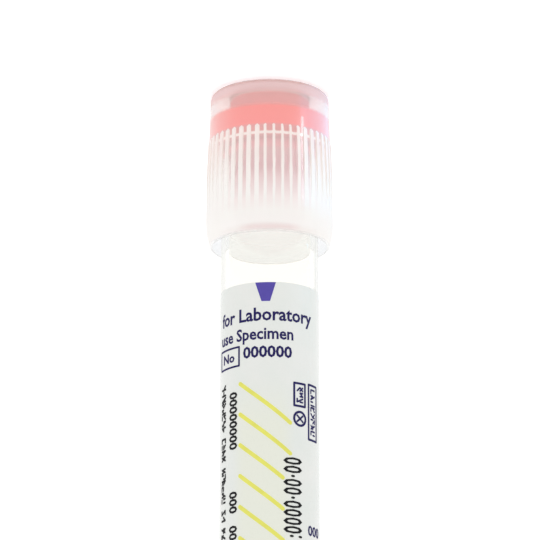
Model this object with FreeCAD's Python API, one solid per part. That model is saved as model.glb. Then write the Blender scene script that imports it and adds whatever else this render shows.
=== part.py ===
import FreeCAD, Part
import math
import os

# Blood collection tube, empty and stoppered, standing on its closure's flat top. Millimetres.
# Each piece is turned about one upright axis, with height 0 at the tube's round bottom.
# The whole is then turned over, so that the closure is the foot and the label's front faces -Y.

# Tube
tube_radius = 6.5
tube_wall = 1.0
tube_length = 100.0
tube_rim_bevel = 0.25

# Label
label_thickness = 0.1
label_gap = 0.02                # glue line between the tube and the label
label_wrap = 300.0              # degrees; the rest of the tube is a clear window
label_below_shield = 6.65
label_foot = 18.0               # height of the label's lower edge above the tube's bottom

# Stopper, in the order of its steps from the top down
stopper_sink = 1.0              # depth of the stopper's top below the shield's top
flange_height = 3.8
flange_overhang = 0.65          # reach of the flange beyond the tube's outside
neck_height = 0.6               # waist that the shield's snap ring sits in
seat_height = 1.0               # lower flange that rests on the tube's rim
seat_inset = 0.1
plug_length = 8.0
plug_clearance = 0.08
plug_end_taper = 0.6
bead_count = 2
bead_peak = 0.35                # place of each bead's peak, from 0 below to 1 above
bead_groove = 0.3
well_wall = 1.35                # rubber left around the needle well
well_depth = 5.6
well_dish = 1.2                 # slant round the floor of the well
septum = 3.4                    # rubber that the needle goes through
plug_wall = 1.8
rubber_bevel = 0.3

# Shield
rubber_clearance = 0.05         # between the shield and the stopper it holds
lip_height = 3.9                # thick ring above the stopper's flange
lip_width = 1.8                 # reach of that ring inwards from the chamber's wall
snap_ring_depth = 1.6
collar_wall = 0.78              # at the shield's top
collar_draft = 0.34             # widening of the collar from its top to the deepest part of the valleys
collar_top_round = 0.9
lip_edge_bevel = 0.4
skirt_gap = 0.95                # between the tube and the inside of the skirt
skirt_wall = 1.1
shield_height = 21.6
belly_top = 4.6                 # where the widest part starts, up from the shield's mouth
belly_foot = 2.1                # where the skirt starts to draw in towards the mouth
skirt_draw_in = 0.55
belly_round = 12.0
skirt_edge_bevel = 0.2
mouth_flare = 0.3
mouth_flare_height = 0.6

# Finger ribs round the shield
rib_count = 46
rib_share = 0.5                 # part of each rib and valley that the rib takes
rib_top = 6.7                   # down from the shield's top to the tips of the ribs
rib_tip_ramp = 0.35             # length of the slope at each tip
rib_rise = 0.12                 # height of the ribs over the collar, at their tips
rib_crest_full = 9.6            # where the crests reach full width, up from the mouth
rib_sink = 0.03                 # crests end this far inside the widest part
flute_low = 9.6                 # where the valleys are deepest, up from the mouth

# Worked out from the sizes above
bore_radius = tube_radius - tube_wall
flange_radius = tube_radius + flange_overhang
chamber_radius = flange_radius + rubber_clearance
opening_radius = chamber_radius - lip_width
snap_ring_radius = chamber_radius - snap_ring_depth
collar_radius = chamber_radius + collar_wall
flute_radius = collar_radius + collar_draft
tip_radius = collar_radius + collar_draft * rib_top / (shield_height - flute_low)
skirt_radius = tube_radius + skirt_gap
belly_radius = skirt_radius + skirt_wall
plug_radius = bore_radius - plug_clearance

seat_top = tube_length + seat_height
neck_top = seat_top + neck_height
flange_top = neck_top + flange_height
shield_top = flange_top + lip_height
shield_bottom = shield_top - shield_height
stopper_top = shield_top - stopper_sink
rib_pitch = 360.0 / rib_count
rib_angle = rib_pitch * rib_share
plug_bottom = tube_length - plug_length
well_floor = stopper_top - well_depth
recess_top = well_floor - septum
rib_tip = shield_top - rib_top
belly_high = shield_bottom + belly_top
belly_low = shield_bottom + belly_foot

soft_flats = 3                  # flats that stand for the arc of a softened corner
nothing = 1e-6                  # shorter than this, an edge is left out
origin = FreeCAD.Vector(0, 0, 0)
up = FreeCAD.Vector(0, 0, 1)


def sharp(radius, height):
    """Outline corner that stays sharp."""
    return FreeCAD.Vector(radius, 0, height), 0, 0


def bevelled(radius, height, size):
    """Outline corner cut off by one flat across an arc of the given radius."""
    return FreeCAD.Vector(radius, 0, height), size, 1


def softened(radius, height, size):
    """Outline corner that follows an arc of the given radius in short flats."""
    return FreeCAD.Vector(radius, 0, height), size, soft_flats


def rounded(radius, height, size):
    """Outline corner turned into a true arc of the given radius."""
    return FreeCAD.Vector(radius, 0, height), size, 0


def corner_arc(before, corner, after, rounding):
    """Start, middle, end and centre of the arc that rounds one corner of an outline."""
    back = (before - corner).normalize()
    ahead = (after - corner).normalize()
    inward = (back + ahead).normalize()
    half_angle = back.getAngle(ahead) / 2
    reach = rounding / math.tan(half_angle)
    centre = corner + inward * (rounding / math.sin(half_angle))
    return corner + back * reach, centre - inward * rounding, corner + ahead * reach, centre


def corner_edges(before, place, after, size, flats):
    """Edges across one corner, in order: one arc, or the flats that stand for it."""
    start, middle, end, centre = corner_arc(before, place, after, size)
    arc = Part.Arc(start, middle, end).toShape()
    if flats == 0:
        return [arc]
    stops = arc.discretize(flats + 1)
    if stops[0].distanceToPoint(start) > stops[-1].distanceToPoint(start):
        stops.reverse()
    return [Part.makeLine(first, second) for first, second in zip(stops, stops[1:])]


def turned(corners, sweep=360.0):
    """Solid turned about the upright axis from a closed outline of corners."""
    edges = []
    ends = []
    for index, (place, size, flats) in enumerate(corners):
        before = corners[index - 1][0]
        after = corners[(index + 1) % len(corners)][0]
        if size > 0:
            edges += corner_edges(before, place, after, size, flats)
            start, middle, end, centre = corner_arc(before, place, after, size)
            ends.append((start, end))
        else:
            ends.append((place, place))
    for index, (start, end) in enumerate(ends):
        following = ends[(index + 1) % len(ends)][0]
        if end.distanceToPoint(following) > nothing:
            edges.append(Part.makeLine(end, following))
    outline = Part.Wire(Part.__sortEdges__(edges))
    return Part.Face(outline).revolve(origin, up, sweep)


def make_tube():
    """Test tube with a round bottom and a bevelled rim."""
    return turned([
        sharp(0, 0),
        rounded(tube_radius, 0, tube_radius),
        bevelled(tube_radius, tube_length, tube_rim_bevel),
        sharp(bore_radius, tube_length),
        rounded(bore_radius, tube_wall, bore_radius),
        sharp(0, tube_wall),
    ])


def make_label():
    """Thin wrap centred on the front of the tube, open at the back."""
    inside = tube_radius + label_gap
    outside = inside + label_thickness
    top = shield_bottom - label_below_shield
    wrap = turned([
        sharp(inside, label_foot),
        sharp(outside, label_foot),
        sharp(outside, top),
        sharp(inside, top),
    ], label_wrap)
    wrap.rotate(origin, up, -90 - label_wrap / 2)
    return wrap


def plug_side():
    """Corners of the plug's side from its lower end up to the seat: sealing beads and grooves."""
    pitch = plug_length / bead_count
    groove_radius = plug_radius - bead_groove
    corners = [sharp(plug_radius - plug_end_taper, plug_bottom)]
    for bead in range(bead_count):
        low = plug_bottom + bead * pitch
        corners.append(sharp(plug_radius, low + pitch * bead_peak))
        corners.append(sharp(groove_radius, low + pitch))
    return corners


def make_stopper():
    """Rubber stopper: needle well, flange, waist, seat on the rim, and a beaded hollow plug."""
    collar = opening_radius - rubber_clearance
    neck = snap_ring_radius - rubber_clearance
    seat = tube_radius - seat_inset
    well = collar - well_wall
    recess = plug_radius - bead_groove - plug_wall
    return turned([
        sharp(0, well_floor),
        sharp(0, recess_top),
        sharp(recess, recess_top),
        sharp(recess, plug_bottom),
    ] + plug_side() + [
        sharp(seat, tube_length),
        sharp(seat, seat_top),
        sharp(neck, seat_top),
        sharp(neck, neck_top),
        sharp(flange_radius, neck_top),
        sharp(flange_radius, flange_top),
        sharp(collar, flange_top),
        sharp(collar, stopper_top),
        bevelled(well, stopper_top, rubber_bevel),
        bevelled(well, well_floor, well_dish),
    ])


def shield_shell():
    """Shield without its ribs: lip, stopper chamber, snap ring and skirt."""
    return turned([
        sharp(opening_radius, flange_top),
        bevelled(opening_radius, shield_top, lip_edge_bevel),
        softened(collar_radius, shield_top, collar_top_round),
        sharp(flute_radius, shield_bottom + flute_low),
        sharp(belly_radius, belly_high),
        rounded(belly_radius, belly_low, belly_round),
        bevelled(belly_radius - skirt_draw_in, shield_bottom, skirt_edge_bevel),
        sharp(skirt_radius + mouth_flare, shield_bottom),
        sharp(skirt_radius, shield_bottom + mouth_flare_height),
        sharp(skirt_radius, seat_top),
        sharp(snap_ring_radius, seat_top),
        sharp(snap_ring_radius, neck_top),
        sharp(chamber_radius, neck_top),
        sharp(chamber_radius, flange_top),
    ])


def make_rib():
    """One finger rib: it rises from the collar, widens with the skirt and runs out in its belly."""
    rib = turned([
        sharp(skirt_radius, belly_high),
        sharp(belly_radius - rib_sink, belly_high),
        sharp(belly_radius - rib_sink, shield_bottom + rib_crest_full),
        sharp(tip_radius + rib_rise, rib_tip - rib_tip_ramp),
        sharp(tip_radius - rib_sink, rib_tip),
        sharp(skirt_radius, rib_tip),
    ], rib_angle)
    rib.rotate(origin, up, -90 - rib_angle / 2)
    return rib


def make_shield():
    """Moulded plastic shield with its ring of finger ribs."""
    rib = make_rib()
    ribs = []
    for number in range(rib_count):
        copy = rib.copy()
        copy.rotate(origin, up, (number + 0.5) * rib_pitch)
        ribs.append(copy)
    return shield_shell().fuse(ribs).Solids[0]


def standing_place():
    """Placement of the closed tube turned over, with the shield's flat top on the ground."""
    half_turn = FreeCAD.Rotation(FreeCAD.Vector(0, 1, 0), 180)
    return FreeCAD.Placement(FreeCAD.Vector(0, 0, shield_top), half_turn)


os.makedirs("parts", exist_ok=True)
pieces = {
    "tube": make_tube(),
    "label": make_label(),
    "rubber_stopper": make_stopper(),
    "closure_shield": make_shield(),
}
place = standing_place()
for name, shape in pieces.items():
    shape.Placement = place.multiply(shape.Placement)
    shape.exportStep("parts/" + name + ".step")
    print(name, shape.ShapeType, shape.isValid(), "volume", round(shape.Volume, 2))
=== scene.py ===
"""Blood collection tube standing on its closure, dressed for rendering.

Objects are in metres. Materials and print are worked out in millimetres.
"""

import itertools
import math
import random

import bmesh
import bpy
from mathutils import Matrix, Vector


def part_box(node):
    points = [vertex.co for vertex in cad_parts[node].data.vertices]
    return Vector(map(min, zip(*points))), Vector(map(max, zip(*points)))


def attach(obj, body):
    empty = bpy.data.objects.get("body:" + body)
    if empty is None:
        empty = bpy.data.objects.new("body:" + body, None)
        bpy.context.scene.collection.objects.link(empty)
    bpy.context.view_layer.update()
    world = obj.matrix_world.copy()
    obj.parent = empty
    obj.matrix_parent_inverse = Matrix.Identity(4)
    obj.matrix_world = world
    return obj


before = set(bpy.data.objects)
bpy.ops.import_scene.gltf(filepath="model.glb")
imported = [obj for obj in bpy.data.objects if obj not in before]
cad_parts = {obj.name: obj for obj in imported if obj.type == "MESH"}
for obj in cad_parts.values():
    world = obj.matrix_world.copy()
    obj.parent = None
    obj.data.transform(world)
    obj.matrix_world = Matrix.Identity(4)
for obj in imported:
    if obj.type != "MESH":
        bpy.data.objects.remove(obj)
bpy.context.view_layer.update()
MM = 0.001
NOISE_DETAIL = 3.0
MIX_FIRST, MIX_SECOND, MIX_RESULT = 6, 7, 2     # colour sockets of a Mix node

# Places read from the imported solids
shield_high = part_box("closure_shield")[1]
label_low, label_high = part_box("label")
SHIELD_HEIGHT = shield_high.z / MM
LABEL_RADIUS = label_high.x
LABEL_TOP = label_low.z             # the edge next to the closure, which is the label's top when read
LABEL_LENGTH = (label_high.z - label_low.z) / MM


# ---------------------------------------------------------------- node helpers

def srgb(red, green, blue):
    """Linear colour of an sRGB triple of 0 to 255."""
    def linear(channel):
        share = channel / 255
        return share / 12.92 if share <= 0.04045 else ((share + 0.055) / 1.055) ** 2.4
    return linear(red), linear(green), linear(blue), 1.0


class Nodes:
    """A material's node tree, with short calls for the nodes used here."""

    def __init__(self, name):
        self.material = bpy.data.materials.new(name)
        self.material.use_nodes = True
        self.tree = self.material.node_tree
        self.tree.nodes.clear()
        self.output = self.tree.nodes.new("ShaderNodeOutputMaterial")

    def add(self, kind, **settings):
        node = self.tree.nodes.new(kind)
        for key, value in settings.items():
            setattr(node, key, value)
        return node

    def feed(self, node, name, value):
        """Links a socket to a node's input, or sets the input to a plain value."""
        socket = node.inputs[name]
        if isinstance(value, bpy.types.NodeSocket):
            self.tree.links.new(value, socket)
        else:
            socket.default_value = value

    def maths(self, operation, first, second=None, third=None, clamp=False):
        node = self.add("ShaderNodeMath", operation=operation, use_clamp=clamp)
        for index, value in enumerate((first, second, third)):
            if value is not None:
                self.feed(node, index, value)
        return node.outputs[0]

    def times(self, first, second):
        return self.maths("MULTIPLY", first, second)

    def unless(self, share):
        """1 where the share is 0, and 0 where it is 1."""
        return self.maths("SUBTRACT", 1.0, share)

    def ramp(self, value, stops, colour=True):
        """Colour ramp through (place, value) stops, each value an sRGB triple or a plain number."""
        node = self.add("ShaderNodeValToRGB")
        elements = node.color_ramp.elements
        while len(elements) < len(stops):
            elements.new(1.0)
        for element, (place, shade) in zip(elements, stops):
            element.position = place
            element.color = srgb(*shade) if colour else (shade, shade, shade, 1)
        self.feed(node, "Fac", value)
        return node.outputs["Color"]

    def mix(self, share, first, second):
        """Mix of two colours: share 0 is the first, 1 the second."""
        node = self.add("ShaderNodeMix", data_type="RGBA")
        self.feed(node, "Factor", share)
        self.feed(node, MIX_FIRST, first)
        self.feed(node, MIX_SECOND, second)
        return node.outputs[MIX_RESULT]

    def blend(self, share, first, second):
        """Mix of two shaders: share 0 is the first, 1 the second."""
        node = self.add("ShaderNodeMixShader")
        self.feed(node, 0, share)
        self.feed(node, 1, first)
        self.feed(node, 2, second)
        return node.outputs[0]

    def step(self, value, low, high):
        """0 at low and 1 at high, with a smooth change between them."""
        node = self.add("ShaderNodeMapRange", interpolation_type="SMOOTHSTEP")
        self.feed(node, "Value", value)
        self.feed(node, "From Min", low)
        self.feed(node, "From Max", high)
        return node.outputs[0]

    def band(self, value, low, high, soft):
        """1 where value lies between low and high, 0 outside, with soft edges."""
        rise = self.step(value, low - soft, low + soft)
        fall = self.step(value, high - soft, high + soft)
        return self.maths("SUBTRACT", rise, fall, clamp=True)

    def place(self):
        """Object coordinates in millimetres."""
        coordinates = self.add("ShaderNodeTexCoord")
        scaled = self.add("ShaderNodeVectorMath", operation="SCALE")
        self.feed(scaled, "Scale", 1 / MM)
        self.feed(scaled, 0, coordinates.outputs["Object"])
        return scaled.outputs[0]

    def polar(self, vector):
        """Angle round the axis from the front, distance from the axis, and height."""
        parts = self.add("ShaderNodeSeparateXYZ")
        self.feed(parts, 0, vector)
        x, y, z = parts.outputs
        angle = self.maths("ARCTAN2", x, self.times(y, -1.0))
        squares = self.maths("MULTIPLY_ADD", x, x, self.times(y, y))
        return angle, self.maths("SQRT", squares), z

    def noise(self, vector, scale):
        node = self.add("ShaderNodeTexNoise")
        self.feed(node, "Vector", vector)
        self.feed(node, "Scale", scale)
        self.feed(node, "Detail", NOISE_DETAIL)
        return node.outputs["Fac"]

    def bump(self, height, strength, distance):
        node = self.add("ShaderNodeBump")
        self.feed(node, "Height", height)
        self.feed(node, "Strength", strength)
        self.feed(node, "Distance", distance)
        return node.outputs["Normal"]

    def backfacing(self):
        """1 where a surface is seen from behind."""
        return self.add("ShaderNodeNewGeometry").outputs["Backfacing"]

    def facing(self):
        """0 where a surface faces the view, rising to 1 where it is seen edge on."""
        return self.add("ShaderNodeLayerWeight").outputs["Facing"]

    def principled(self, **inputs):
        return self.shader("ShaderNodeBsdfPrincipled", **inputs)

    def shader(self, kind, **inputs):
        """A shader's output, with its inputs set or linked."""
        node = self.add(kind)
        for name, value in inputs.items():
            self.feed(node, name.replace("_", " "), value)
        return node.outputs[0]

    def finish(self, shader):
        self.tree.links.new(shader, self.output.inputs["Surface"])
        return self.material


# ---------------------------------------------------------------- shield
# Heights are in millimetres from the shield's flat top, angles in radians from the front.

OUTER_WALL = 7.93                   # everything further from the axis than this is the shield's outside
OUTER_SOFT = 0.08
TOP_FACE = (0.95, 0.75)             # from here up the top counts as outside too
EDGE_FACE = (SHIELD_HEIGHT - 0.15, SHIELD_HEIGHT - 0.05)    # and from here down the lower edge

RIB_COUNT = 46
RIB_TIP = 6.7
TIP_DELAY = 0.35                    # how much lower a rib would start in the middle of a valley
TIP_SLANT = 0.9                     # how fast the start rises from there to the crest, for pointed tips
TIP_SOFT = (-0.05, 0.1)
CREST_EDGE = 0.03                   # where the white starts, from 0 in mid valley to 0.5 in mid crest
CREST_RAGGED = 0.24                 # most that the noise moves that edge
CREST_UNEVEN = 0.2                  # most that CREST_ROUND moves it
CREST_SOFT = 0.06
CREST_ROUND = (                     # share of CREST_UNEVEN by place, which is 0.5 at the front
    (0.2, 0.0),
    (0.27, 0.75),
    (0.5, 0.85),
    (0.6, 0.2),
    (0.8, 0.2),
    (0.88, 0.0),
)
PLACE_PER_RADIAN = 0.5
PLACE_IN_FRONT = 0.5
CREST_FADE = ((16.5, 1.0), (19.8, 0.0))
CREST_TONES = ((11.0, (253, 246, 240)), (15.5, (255, 254, 250)))
CREST_COVER = (0.95, 0.95, 0.95, 1)     # as a grey: how much a crest hides of what is behind it
RAGGED_GRAIN = (1, 1, 0.25)         # draws the noise out along the ribs
RAGGED_SCALE = 1.1
CREST_RING = (7.7, 8.1)             # white ring that joins the ribs
CREST_RING_SOFT = 0.12

WALL_TONES = (
    (0.0, (240, 214, 208)),         # top and its rounded edge, with a painted dark line of shade along that edge
    (0.3, (221, 181, 174)),
    (0.5, (224, 187, 182)),
    (0.8, (242, 210, 209)),
    (1.4, (242, 210, 209)),
    (1.8, (240, 201, 198)),         # beside the stopper's collar
    (2.3, (243, 207, 198)),
    (3.5, (243, 204, 195)),
    (4.05, (254, 156, 150)),        # against the stopper's flange
    (6.5, (255, 158, 153)),
    (6.85, (234, 172, 170)),        # valleys between the ribs
    (7.7, (232, 176, 172)),
    (8.4, (237, 204, 202)),
    (10.6, (250, 222, 221)),
    (12.5, (245, 217, 218)),
    (14.2, (251, 231, 230)),
    (16.2, (251, 238, 236)),
    (18.8, (254, 251, 247)),        # belly and lower edge
    (20.4, (254, 250, 247)),
    # painted shade: this darker tone rings the lower edge all round
    (21.3, (247, 240, 236)),
    (21.6, (251, 247, 244)),
)
WALL_COVER = (                      # how much the outside hides of what is behind it
    (0.22, 0.15),
    (0.42, 0.9),
    (1.8, 0.88),
    (2.3, 0.55),
    (3.55, 0.55),
    (4.05, 1.0),
    (7.8, 0.95),
    (8.6, 0.72),
    (13.0, 0.72),
    (17.0, 0.94),
    (SHIELD_HEIGHT, 0.96),
)
# The lining, the lip of the mouth that faces the view, and the fading out of the lower edge
# painted shade: the lining is a little darker towards the mouth
LINING_TONES = ((17.0, (252, 253, 255)), (20.0, (249, 250, 251)))
LINING_COVER = ((15.0, 0.08), (19.0, 0.25))
LIP_COVER = ((15.0, 0.08), (19.0, 0.25), (21.2, 0.7))
MOUTH_FADE = ((21.25, 1.0), (21.5, 0.35))

LIGHT_FROM_FRONT = 0.1              # share of light that the wall lets through, seen from its outside
LIGHT_FROM_BEHIND = 0.87            # what is added to that on its lining and seen from inside

PAINTED_LIP_SHADE = (20.7, 21.45)               # painted pink shade over the lower edge, at the front
PAINTED_LIP_SHADE_SOFT = 0.4
PAINTED_LIP_SHADE_REACH = (0.62, 0.32)          # it fades in between these angles
PAINTED_LIP_SHADE_TONE = (240, 221, 219)
PAINTED_LIP_SHADE_SHARE = 0.8

PAINTED_SHEEN_FACING = (0.2, 0.45)          # painted sheen: the wall turns near-white where it is seen at a slant
PAINTED_SHEEN_RISE = ((6.9, 0.08), (8.8, 0.9))
PAINTED_SHEEN_TONES = ((8.5, (249, 235, 230)), (13.5, (249, 245, 241)))
GLOSS_START = (1.2, 2.6)            # the wall is satin above these heights and glossy below them
TOP_MIRROR = (0.3, 0.1)             # the flat top mirrors the wall when it is seen from inside
MIRROR_TONES = ((236, 214, 207), (253, 250, 248))
MIRROR_EDGE = (6.5, 7.0)            # distance from the axis at which the first tone gives way to the second


def down_wall(n, z, stops, colour=True):
    """Ramp down the shield's wall through (height, value) stops."""
    share = n.maths("DIVIDE", z, SHIELD_HEIGHT)
    return n.ramp(share, [(height / SHIELD_HEIGHT, value) for height, value in stops], colour)


def shield_outside(n, radius, z):
    """1 on the shield's outside, its top and its lower edge, and 0 on its lining."""
    wall = n.step(radius, OUTER_WALL - OUTER_SOFT, OUTER_WALL)
    top = n.step(z, *TOP_FACE)
    edge = n.step(z, *EDGE_FACE)
    return n.maths("MAXIMUM", n.maths("MAXIMUM", wall, top), edge)


def rib_crests(n, vector, angle, z):
    """White crests of the ribs, uneven and ragged as in the photo, and the ring that joins them."""
    across = n.maths("PINGPONG", n.times(angle, RIB_COUNT / (2 * math.pi)), 0.5)
    grain = n.add("ShaderNodeVectorMath", operation="MULTIPLY")
    n.feed(grain, 0, vector)
    n.feed(grain, 1, RAGGED_GRAIN)
    ragged = n.noise(grain.outputs[0], RAGGED_SCALE)
    place = n.maths("MULTIPLY_ADD", angle, PLACE_PER_RADIAN, PLACE_IN_FRONT)
    uneven = n.ramp(place, CREST_ROUND, colour=False)
    edge = n.maths("MULTIPLY_ADD", uneven, CREST_UNEVEN, CREST_EDGE)
    edge = n.maths("MULTIPLY_ADD", ragged, CREST_RAGGED, edge)
    crest = n.step(n.maths("SUBTRACT", across, edge), 0.0, CREST_SOFT)
    tips = n.maths("MULTIPLY_ADD", across, -TIP_SLANT, RIB_TIP + TIP_DELAY)
    ribs = n.times(crest, n.step(n.maths("SUBTRACT", z, tips), *TIP_SOFT))
    white = n.maths("MAXIMUM", ribs, n.band(z, *CREST_RING, CREST_RING_SOFT))
    return n.times(white, down_wall(n, z, CREST_FADE, colour=False))


def wall_paint(n, angle, z, crests):
    """Colour of the shield's outside: the wall by height, a painted pink shade over the lower edge at the
    front, and the crests.
    """
    # painted shade: a darker pink band over the lower edge, fading out away from the front
    painted_lip_shade = n.times(n.band(z, *PAINTED_LIP_SHADE, PAINTED_LIP_SHADE_SOFT), n.step(n.maths("ABSOLUTE", angle), *PAINTED_LIP_SHADE_REACH))
    wall = n.mix(n.times(painted_lip_shade, PAINTED_LIP_SHADE_SHARE), down_wall(n, z, WALL_TONES), srgb(*PAINTED_LIP_SHADE_TONE))
    return n.mix(crests, wall, down_wall(n, z, CREST_TONES))


def wall_surface(n, vector, z, colour):
    """Skin of the shield: satin at its top, and glossy with a sheen below."""
    satin = n.principled(Base_Color=colour, Roughness=0.45, Specular_IOR_Level=0.15)
    glossy = n.principled(
        Base_Color=colour,
        Roughness=0.35,
        IOR=1.49,
        Coat_Weight=0.5,
        Coat_Roughness=0.06,
        Sheen_Weight=0.9,
        Sheen_Roughness=0.5,
        Normal=n.bump(n.noise(vector, scale=3.0), strength=0.06, distance=0.0002),
    )
    return n.blend(n.step(z, *GLOSS_START), satin, glossy)


def shield_plastic():
    """Natural translucent plastic: clear at the stopper's collar, pink at its flange, white on the ribs."""
    n = Nodes("natural_plastic")
    vector = n.place()
    angle, radius, z = n.polar(vector)
    inside = n.backfacing()
    outside = shield_outside(n, radius, z)
    front = n.times(outside, n.unless(inside))
    crests = rib_crests(n, vector, angle, z)

    colour = n.mix(front, down_wall(n, z, LINING_TONES), wall_paint(n, angle, z, crests))
    lit_through = n.maths("MAXIMUM", inside, n.unless(outside))
    body = n.blend(
        n.maths("MULTIPLY_ADD", lit_through, LIGHT_FROM_BEHIND, LIGHT_FROM_FRONT),
        wall_surface(n, vector, z, colour),
        n.shader("ShaderNodeBsdfTranslucent", Color=colour),
    )
    mirror_tone = n.mix(n.step(radius, *MIRROR_EDGE), *(srgb(*tone) for tone in MIRROR_TONES))
    mirror = n.principled(Base_Color=mirror_tone, Metallic=1.0, Roughness=0.12)
    body = n.blend(n.times(inside, n.step(z, *TOP_MIRROR)), body, mirror)
    # painted sheen: where the wall is seen at a slant it becomes near-white satin and hides more of what is
    # behind
    painted_sheen = n.times(n.step(n.facing(), *PAINTED_SHEEN_FACING), down_wall(n, z, PAINTED_SHEEN_RISE, colour=False))
    painted_sheen = n.times(painted_sheen, front)
    # near-white satin of the painted sheen
    satin = n.principled(Base_Color=down_wall(n, z, PAINTED_SHEEN_TONES), Roughness=0.5)
    body = n.blend(painted_sheen, body, satin)

    cover = n.mix(crests, down_wall(n, z, WALL_COVER, colour=False), CREST_COVER)
    cover = n.times(n.maths("MAXIMUM", cover, painted_sheen), down_wall(n, z, MOUTH_FADE, colour=False))
    lip = down_wall(n, z, LIP_COVER, colour=False)
    lining = n.mix(inside, lip, down_wall(n, z, LINING_COVER, colour=False))
    clear = n.shader("ShaderNodeBsdfTransparent")
    return n.finish(n.blend(n.mix(outside, lining, cover), clear, body))


# ---------------------------------------------------------------- rubber, tube, label and ink

RUBBER_TONES = ((0.35, (226, 122, 130)), (0.65, (234, 134, 142)))
TUBE_TONE = (253, 252, 248)
TUBE_EDGE_SHADE_TONE = (248, 248, 244)
TUBE_EDGE_SHADE_FACING = (0.5, 0.68)      # painted shade: a faint pale grey edge down the tube's sides, where they are seen at a slant
TUBE_EDGE_SHADE_SHARE = 0.8
TUBE_OUTSIDE = (5.9, 6.0)           # the tube's outside lies beyond this distance from the axis
TUBE_SHADOW_TONE = (253, 253, 250)

FILM_TONES = ((0.3, (224, 228, 223)), (0.7, (229, 230, 226)))
FILM_BACK_TONE = (222, 224, 219)
FILM_BACK_SHARE = 0.95
FILM_FACE = LABEL_RADIUS / MM - 0.04    # anything nearer to the axis is the film's glued side
FILM_FACE_SOFT = 0.01
GLUE_CLEAR = 0.85
FIELD_ACROSS = (-4.5, 2.5)          # cream writing field, in millimetres across and down from the label's top
FIELD_SOFT = 1.2
FIELD_DOWN = (12.0, 20.0)
FIELD_TONE = (228, 230, 214)
FIELD_SHARE = 0.75

INK_FACE = LABEL_RADIUS / MM + 0.0255   # anything nearer to the axis is the underside of the ink
INK_FACE_SOFT = 0.001
INK_SHADE = 0.97                    # of the darker parts of a field of ink
INK_PALE = 0.65                     # share of white in the light that ink lets through
WHITE = 255


def stopper_rubber():
    """Soft pink-red rubber."""
    n = Nodes("stopper_rubber")
    vector = n.place()
    return n.finish(n.principled(
        Base_Color=n.ramp(n.noise(vector, scale=1.2), RUBBER_TONES),
        Roughness=0.55,
        Subsurface_Weight=0.1,
        Subsurface_Scale=0.001,
        Normal=n.bump(n.noise(vector, scale=6.0), strength=0.15, distance=0.0001),
    ))


def tube_plastic():
    """Clear glossy plastic that lets lamps through to what is behind it."""
    n = Nodes("clear_plastic")
    radius = n.polar(n.place())[1]
    glass = n.principled(Base_Color=srgb(*TUBE_TONE), Roughness=0.0, IOR=1.45, Transmission_Weight=1.0)
    painted_edge_shade = n.principled(Base_Color=srgb(*TUBE_EDGE_SHADE_TONE), Roughness=0.6, Specular_IOR_Level=0.2)
    # painted shade: the tube's outside turns a flat pale grey where it is seen at a slant
    edge = n.times(n.step(n.facing(), *TUBE_EDGE_SHADE_FACING), n.step(radius, *TUBE_OUTSIDE))
    wall = n.blend(n.times(edge, TUBE_EDGE_SHADE_SHARE), glass, painted_edge_shade)
    through = n.shader("ShaderNodeBsdfTransparent", Color=srgb(*TUBE_SHADOW_TONE))
    shadow_ray = n.add("ShaderNodeLightPath").outputs["Is Shadow Ray"]
    return n.finish(n.blend(shadow_ray, wall, through))


def label_film():
    """Off-white satin film that lets some light through to its back."""
    n = Nodes("label_film")
    vector = n.place()
    angle, radius, z = n.polar(vector)
    across = n.times(angle, -LABEL_RADIUS / MM)
    down = n.maths("SUBTRACT", z, LABEL_TOP / MM)
    field = n.times(n.band(across, *FIELD_ACROSS, FIELD_SOFT), n.step(down, *FIELD_DOWN))
    tone = n.ramp(n.noise(vector, scale=0.25), FILM_TONES)
    surface = n.principled(
        Base_Color=n.mix(n.times(field, FIELD_SHARE), tone, srgb(*FIELD_TONE)),
        Roughness=0.45,
        Coat_Weight=0.9,
        Coat_Roughness=0.12,
        Normal=n.bump(n.noise(vector, scale=8.0), strength=0.05, distance=0.00005),
    )
    back = n.backfacing()
    glow = n.shader("ShaderNodeBsdfTranslucent", Color=srgb(*FILM_BACK_TONE))
    film = n.blend(n.times(back, FILM_BACK_SHARE), surface, glow)
    clear = n.shader("ShaderNodeBsdfTransparent")
    glued = n.times(n.unless(back), n.step(radius, FILM_FACE, FILM_FACE - FILM_FACE_SOFT))
    return n.finish(n.blend(n.times(glued, GLUE_CLEAR), film, clear))


def ink(name, shade):
    """Printing ink: a little uneven, as it lies on film, and thin enough to let light through to the film."""
    n = Nodes(name)
    vector = n.place()
    radius = n.polar(vector)[1]
    darker = tuple(INK_SHADE * channel for channel in shade)
    surface = n.principled(
        Base_Color=n.ramp(n.noise(vector, scale=0.7), ((0.35, darker), (0.65, shade))),
        Roughness=0.5,
        Specular_IOR_Level=0.12,
        Normal=n.bump(n.noise(vector, scale=12.0), strength=0.1, distance=0.00003),
    )
    back = n.backfacing()
    pale = ((1 - INK_PALE) * channel + INK_PALE * WHITE for channel in shade)
    glow = n.shader("ShaderNodeBsdfTranslucent", Color=srgb(*pale))
    film = n.blend(back, surface, glow)
    clear = n.shader("ShaderNodeBsdfTransparent")
    nearer = n.step(radius, INK_FACE + INK_FACE_SOFT, INK_FACE - INK_FACE_SOFT)
    return n.finish(n.blend(n.times(n.unless(back), nearer), film, clear))


# ---------------------------------------------------------------- print on the label
# Flat shapes are laid out in millimetres: across from the middle of the label's front,
# to the right as the label is read, down from the label's upper edge, and out from the film.

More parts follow.
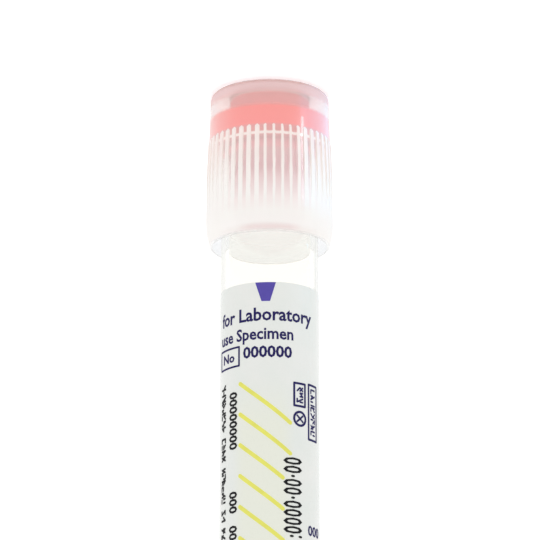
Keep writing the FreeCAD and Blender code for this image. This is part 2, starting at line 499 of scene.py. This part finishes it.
INK_THICKNESS = 0.02
INK_LIFT = 0.012                    # gap between the film and the underside of the ink
BLACK_LIFT = 0.02
STRIP = 0.4                         # widest flat that a bent shape keeps
CUT_MERGE = 1e-6                    # points nearer to a cut than this are taken as on it
SLIVER = 1e-4                       # shorter edges are dissolved after the cuts
LETTER_MERGE = 1e-5                 # points of a letter nearer to each other than this become one
CAP_SHARE = 0.7                     # height of a capital beside the font's size
CURVE_STEPS = 2                     # of a letter's curves
RING_SIDES = 28
ROUND_END = 6                       # flats in the round end of a stroke
PLAIN_END = 2                       # likewise in small print

VIOLET = (90, 79, 167)
YELLOW = (231, 229, 110)
NAVY = (36, 32, 88)
BLACK = (24, 24, 26)

MARKER = ((-1.92, 0.06), (0.83, 0.06), (0.06, 2.65), (-1.07, 2.65))

STRIPE_LEFT = -4.1
STRIPE_RUN = 6.85
STRIPE_FALL = 5.4
STRIPE_PITCH = 4.12
STRIPE_WIDTH = 0.55
STRIPES_TOP = 13.62
DATE_LEFT = 4.43
DATE_TOP = 24.1
DATE_FOOT = 33.7
DATE_MARGIN = 0.6
DATE_HEIGHT = 2.6
DATE_WEIGHT = 0.07
DATE_SQUEEZE = 0.55
DATE_SPACING = 1.1
BESIDE_DATE = 0.85                  # share of its length that a stripe keeps beside the date

NAVY_WORDS = (
    # text, left, baseline, height of a capital, weight, squeeze
    ("for Laboratory", -7.9, 5.25, 1.75, 0.055, 0.95),
    ("use Specimen", -8.2, 7.8, 1.58, 0.05, 0.93),
    ("000000", -3.65, 10.25, 1.5, 0.06, 1.04),
    ("No", -7.6, 10.4, 1.2, 0.05, 1.1),
    ("000", 5.6, 33.6, 1.3, 0.05, 1.0),
)
NAVY_BOXES = (
    # left, top, right, bottom, width of the stroke
    (-8.3, 8.55, -4.3, 11.1, 0.26),
    (3.35, 13.55, 5.1, 16.6, 0.3),
    (5.8, 13.4, 7.7, 20.8, 0.3),
)
NAVY_SMALL_PRINT = (
    # left, top, height, pitch, count, width of the stroke
    (3.8, 14.1, 0.9, 0.75, 3, 0.24),
    (6.3, 14.0, 0.9, 0.8, 8, 0.24),
)
RING_MIDDLE = (4.25, 18.3)
RING_RADIUS = 0.92
RING_WIDTH = 0.32
CROSS = (((3.8, 17.9), (4.7, 18.7)), ((3.8, 18.7), (4.7, 17.9)))
CROSS_WIDTH = 0.26

BLACK_SMALL_PRINT = (-8.0, 13.3, 1.0, 0.8, 50, 0.28)    # as in NAVY_SMALL_PRINT
BLACK_NUMBERS = (("00000000", 22.3), ("000", 30.8), ("0000", 36.3))     # text and foot
NUMBERS_LEFT = -4.65
NUMBERS_HEIGHT = 1.36
NUMBERS_WEIGHT = 0.06
NAVY_SEED = 5
BLACK_SEED = 11
SKIPPED = 0.08                      # share of the small print that is left blank
SIGN_WIDTH = 0.62                   # of a sign of small print, beside its pitch
SIGN_STROKES = 3


class Print:
    """Ink of one colour on the label, gathered as closed flat shapes and then wrapped round it."""

    def __init__(self, name, material, lift=INK_LIFT):
        self.name = name
        self.material = material
        self.lift = lift
        self.mesh = bmesh.new()

    def polygon(self, points):
        """Closed flat shape through (across, down) points."""
        corners = [self.mesh.verts.new((across, down, 0)) for across, down in points]
        face = self.mesh.faces.new(corners)
        lifted = bmesh.ops.extrude_face_region(self.mesh, geom=[face])["geom"]
        moved = [item for item in lifted if isinstance(item, bmesh.types.BMVert)]
        bmesh.ops.translate(self.mesh, verts=moved, vec=(0, 0, INK_THICKNESS))

    def stroke(self, start, end, width, flats=ROUND_END):
        """Straight stroke with round ends."""
        across, down = end[0] - start[0], end[1] - start[1]
        heading = math.atan2(down, across)
        points = []
        for centre, first in ((end, heading - math.pi / 2), (start, heading + math.pi / 2)):
            for step in range(flats + 1):
                points.append(beside(centre, first + math.pi * step / flats, width / 2))
        self.polygon(points)

    def outline(self, left, top, right, bottom, width):
        """Empty box drawn with four strokes."""
        corners = [(left, top), (right, top), (right, bottom), (left, bottom)]
        for start, end in zip(corners, corners[1:] + corners[:1]):
            self.stroke(start, end, width)

    def ring(self, centre, radius, width):
        """Circle drawn with one stroke."""
        for side in range(RING_SIDES):
            turns = [2 * math.pi * (side + step) / RING_SIDES for step in (0, 1)]
            points = [beside(centre, turn, radius - width / 2) for turn in turns]
            points += [beside(centre, turn, radius + width / 2) for turn in reversed(turns)]
            self.polygon(points)

    def words(self, text, left, baseline, cap_height, weight, squeeze=1.0, spacing=1.0, upwards=False):
        """Words in the built-in font; upwards turns them to read from bottom to top."""
        font = bpy.data.curves.new(self.name, "FONT")
        font.body = text
        font.size = cap_height / CAP_SHARE
        font.offset = weight
        font.space_character = spacing
        font.resolution_u = CURVE_STEPS
        font.extrude = INK_THICKNESS / 2
        holder = bpy.data.objects.new(self.name, font)
        flat = bpy.data.meshes.new_from_object(holder)
        flat.transform(Matrix.Diagonal((squeeze, 1, 1, 1)))
        turn = Matrix.Rotation(-math.pi / 2, 4, "Z") if upwards else Matrix.Identity(4)
        flip = Matrix.Diagonal((1, -1, 1, 1))
        flat.transform(Matrix.Translation((left, baseline, INK_THICKNESS / 2)) @ turn @ flip)
        letters = bmesh.new()
        letters.from_mesh(flat)
        bmesh.ops.remove_doubles(letters, verts=letters.verts, dist=LETTER_MERGE)
        letters.to_mesh(flat)
        letters.free()
        self.mesh.from_mesh(flat)
        bpy.data.objects.remove(holder)
        bpy.data.curves.remove(font)
        bpy.data.meshes.remove(flat)

    def small_print(self, rng, left, top, height, pitch, count, width):
        """Column of signs too small to read, each of a few strokes between six points."""
        for number in range(count):
            if rng.random() < SKIPPED:
                continue
            down = top + number * pitch
            rows = [left + height * row / 2 for row in range(3)]
            nodes = [(row, down + pitch * SIGN_WIDTH * side) for row in rows for side in range(2)]
            for start, end in rng.sample(list(itertools.combinations(nodes, 2)), SIGN_STROKES):
                self.stroke(start, end, width, PLAIN_END)

    def cut(self):
        """Cuts the flat shapes into narrow strips."""
        reach = math.ceil(max(abs(vert.co.x) for vert in self.mesh.verts) / STRIP)
        for strip in range(-reach, reach + 1):
            everything = self.mesh.verts[:] + self.mesh.edges[:] + self.mesh.faces[:]
            bmesh.ops.bisect_plane(
                self.mesh,
                geom=everything,
                dist=CUT_MERGE,
                plane_co=(strip * STRIP, 0, 0),
                plane_no=(1, 0, 0),
            )
        bmesh.ops.dissolve_degenerate(self.mesh, edges=self.mesh.edges, dist=SLIVER)

    def wrap(self):
        """Cuts the shapes, bends them round the label and makes the piece."""
        bmesh.ops.recalc_face_normals(self.mesh, faces=self.mesh.faces)
        self.cut()
        for vert in self.mesh.verts:
            across, down, out = vert.co * MM
            turn = across / LABEL_RADIUS
            radius = LABEL_RADIUS + out + self.lift * MM
            vert.co = (-radius * math.sin(turn), -radius * math.cos(turn), LABEL_TOP + down)
        bmesh.ops.reverse_faces(self.mesh, faces=self.mesh.faces)   # the bend turned them inside out
        data = bpy.data.meshes.new(self.name)
        self.mesh.to_mesh(data)
        self.mesh.free()
        data.materials.append(self.material)
        piece = bpy.data.objects.new(self.name, data)
        bpy.context.scene.collection.objects.link(piece)
        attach(piece, "tube")


def beside(centre, turn, distance):
    """Point at a distance from a centre, in the direction turn."""
    return centre[0] + distance * math.cos(turn), centre[1] + distance * math.sin(turn)


def print_marker():
    """Violet wedge that hangs from the label's upper edge."""
    marker = Print("print_marker", ink("ink_violet", VIOLET))
    marker.polygon(MARKER)
    marker.wrap()


def print_stripes():
    """Slanting yellow stripes down the writing field."""
    stripes = Print("print_stripes", ink("ink_yellow", YELLOW))
    count = int((LABEL_LENGTH - STRIPES_TOP - STRIPE_FALL) / STRIPE_PITCH) + 1
    for number in range(count):
        top = STRIPES_TOP + number * STRIPE_PITCH
        share = BESIDE_DATE if DATE_TOP - STRIPE_FALL < top < DATE_FOOT else 1.0
        end = (STRIPE_LEFT + STRIPE_RUN * share, top + STRIPE_FALL * share)
        stripes.stroke((STRIPE_LEFT, top), end, STRIPE_WIDTH)
    stripes.wrap()


def print_navy():
    """Headings in dark blue, with boxes and a ring beside the writing field."""
    navy = Print("print_navy", ink("ink_navy", NAVY))
    for heading in NAVY_WORDS:
        navy.words(*heading)
    for box in NAVY_BOXES:
        navy.outline(*box)
    navy.ring(RING_MIDDLE, RING_RADIUS, RING_WIDTH)
    for start, end in CROSS:
        navy.stroke(start, end, CROSS_WIDTH)
    rng = random.Random(NAVY_SEED)
    for column in NAVY_SMALL_PRINT:
        navy.small_print(rng, *column)
    navy.wrap()


def print_black():
    """Date field, rows of noughts and a column of print too small to read, all on their side."""
    black = Print("print_black", ink("ink_black", BLACK), BLACK_LIFT)
    black.words(
        ":0000·00·00",
        left=DATE_LEFT,
        baseline=DATE_FOOT + DATE_MARGIN,
        cap_height=DATE_HEIGHT,
        weight=DATE_WEIGHT,
        squeeze=DATE_SQUEEZE,
        spacing=DATE_SPACING,
        upwards=True,
    )
    black.small_print(random.Random(BLACK_SEED), *BLACK_SMALL_PRINT)
    for text, foot in BLACK_NUMBERS:
        black.words(text, NUMBERS_LEFT, foot, NUMBERS_HEIGHT, NUMBERS_WEIGHT, upwards=True)
    black.wrap()


# ---------------------------------------------------------------- stage

FLOOR_SIZE = 6.0
FLOOR_DROP = 0.1 * MM               # keeps the floor just under the closure
FLOOR_TONE = (238, 238, 238)
GLOW_SEEN = 0.35                    # brings the floor to white for the camera
GLOW_MIRRORED = 0.2                 # and in gloss and through glass
DOME_LIGHT = 1.08                   # strength of the dome where it lights the object
DOME_SEEN = 1.0                     # and where it is seen directly or through glass

REFLECTOR_HEADING = math.radians(-63.0)     # compass direction of their long edges, 0 at the camera's side
REFLECTOR_LIFT = 0.2 * MM
REFLECTORS = (
    # name, start beyond the shield, width, length, radiance, tint
    ("reflector_right", 0.0, 0.05, 0.055, 2.2, (0.02, 0.45, 0.9)),
    ("reflector_ribs", 0.024, 0.05, 0.022, 1.2, (0.6, 0.9, 0.9)),
    ("reflector_streak", 0.012, 0.002, 0.04, 14.0, (1.0, 1.0, 1.0)),
)

VIEW_HEIGHT = 24.6 * MM             # point of the axis in the middle of the picture
VIEW_DISTANCE = 460 * MM
VIEW_ELEVATION = math.radians(17.14)
VIEW_SIDESTEP = -0.05 * MM
LENS = 229.2                        # focal length and sensor in millimetres
SENSOR_WIDTH = 36.0
NEAREST_SEEN = 0.01
FURTHEST_SEEN = 20.0


def make_floor():
    """White floor that keeps the tube's shadow."""
    bpy.ops.mesh.primitive_plane_add(size=FLOOR_SIZE, location=(0, 0, -FLOOR_DROP))
    floor = bpy.context.object
    floor.name = "floor"
    n = Nodes("floor_white")
    matt = n.shader("ShaderNodeBsdfDiffuse", Color=srgb(*FLOOR_TONE))
    rays = n.add("ShaderNodeLightPath").outputs
    mirrored = n.maths("MAXIMUM", rays["Is Glossy Ray"], rays["Is Transmission Ray"])
    strength = n.maths("MULTIPLY_ADD", mirrored, GLOW_MIRRORED, n.times(rays["Is Camera Ray"], GLOW_SEEN))
    both = n.add("ShaderNodeAddShader")
    n.feed(both, 0, matt)
    n.feed(both, 1, n.shader("ShaderNodeEmission", Strength=strength))
    floor.data.materials.append(n.finish(both.outputs[0]))


def make_world():
    """Soft white dome; seen directly or through glass it is plain white."""
    world = bpy.data.worlds.new("studio")
    bpy.context.scene.world = world
    world.use_nodes = True
    tree = world.node_tree
    tree.nodes.clear()
    output = tree.nodes.new("ShaderNodeOutputWorld")
    mixed = tree.nodes.new("ShaderNodeMixShader")
    for index, strength in ((1, DOME_LIGHT), (2, DOME_SEEN)):
        white = tree.nodes.new("ShaderNodeBackground")
        white.inputs["Color"].default_value = (1, 1, 1, 1)
        white.inputs["Strength"].default_value = strength
        tree.links.new(white.outputs[0], mixed.inputs[index])
    paths = tree.nodes.new("ShaderNodeLightPath")
    seen = tree.nodes.new("ShaderNodeMath")
    seen.operation = "MAXIMUM"
    tree.links.new(paths.outputs["Is Camera Ray"], seen.inputs[0])
    tree.links.new(paths.outputs["Is Transmission Ray"], seen.inputs[1])
    tree.links.new(seen.outputs[0], mixed.inputs[0])
    tree.links.new(mixed.outputs[0], output.inputs["Surface"])


def add_reflector(name, start, width, length, radiance, tint):
    """Bright panel on the floor beside the tube, seen only in gloss.

    One long edge runs in the reflectors' heading, from the given distance beyond the shield, and the panel
    spreads away from the camera.
    """
    lamp = bpy.data.lights.new(name, "AREA")
    lamp.shape = "RECTANGLE"
    lamp.size = length
    lamp.size_y = width
    lamp.energy = radiance * math.pi * width * length
    lamp.color = tint
    panel = bpy.data.objects.new(name, lamp)
    bpy.context.scene.collection.objects.link(panel)
    outward = compass(REFLECTOR_HEADING)
    sideways = Vector((-outward.y, outward.x, 0))
    edge = compass(REFLECTOR_HEADING / 2) * shield_high.x + outward * start
    centre = edge + outward * length / 2 - sideways * width / 2
    panel.location = (centre.x, centre.y, REFLECTOR_LIFT)
    panel.rotation_euler = (math.pi, 0, math.atan2(outward.y, outward.x))
    panel.visible_diffuse = False
    panel.visible_camera = False
    panel.visible_transmission = False


def compass(turn):
    """Level direction that lies turn radians round from the camera's side."""
    return Vector((math.sin(turn), -math.cos(turn), 0))


def make_camera():
    """Camera at the front, turned over so that the closure is at the top of the picture."""
    data = bpy.data.cameras.new("camera")
    data.lens = LENS
    data.sensor_width = SENSOR_WIDTH
    data.clip_start = NEAREST_SEEN
    data.clip_end = FURTHEST_SEEN
    camera = bpy.data.objects.new("camera", data)
    bpy.context.scene.collection.objects.link(camera)
    place = Matrix.Translation((
        VIEW_SIDESTEP,
        -VIEW_DISTANCE * math.cos(VIEW_ELEVATION),
        VIEW_HEIGHT + VIEW_DISTANCE * math.sin(VIEW_ELEVATION),
    ))
    tip = Matrix.Rotation(math.pi / 2 - VIEW_ELEVATION, 4, "X")
    camera.matrix_world = place @ tip @ Matrix.Rotation(math.pi, 4, "Z")
    bpy.context.scene.camera = camera


# ---------------------------------------------------------------- scene

bpy.context.scene.view_settings.view_transform = "Standard"

dressing = {
    "closure_shield": shield_plastic(),
    "rubber_stopper": stopper_rubber(),
    "tube": tube_plastic(),
    "label": label_film(),
}
for node, material in dressing.items():
    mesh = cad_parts[node].data
    mesh.materials.clear()
    mesh.materials.append(material)

print_marker()
print_stripes()
print_navy()
print_black()

make_floor()
make_world()
for reflector in REFLECTORS:
    add_reflector(*reflector)
make_camera()
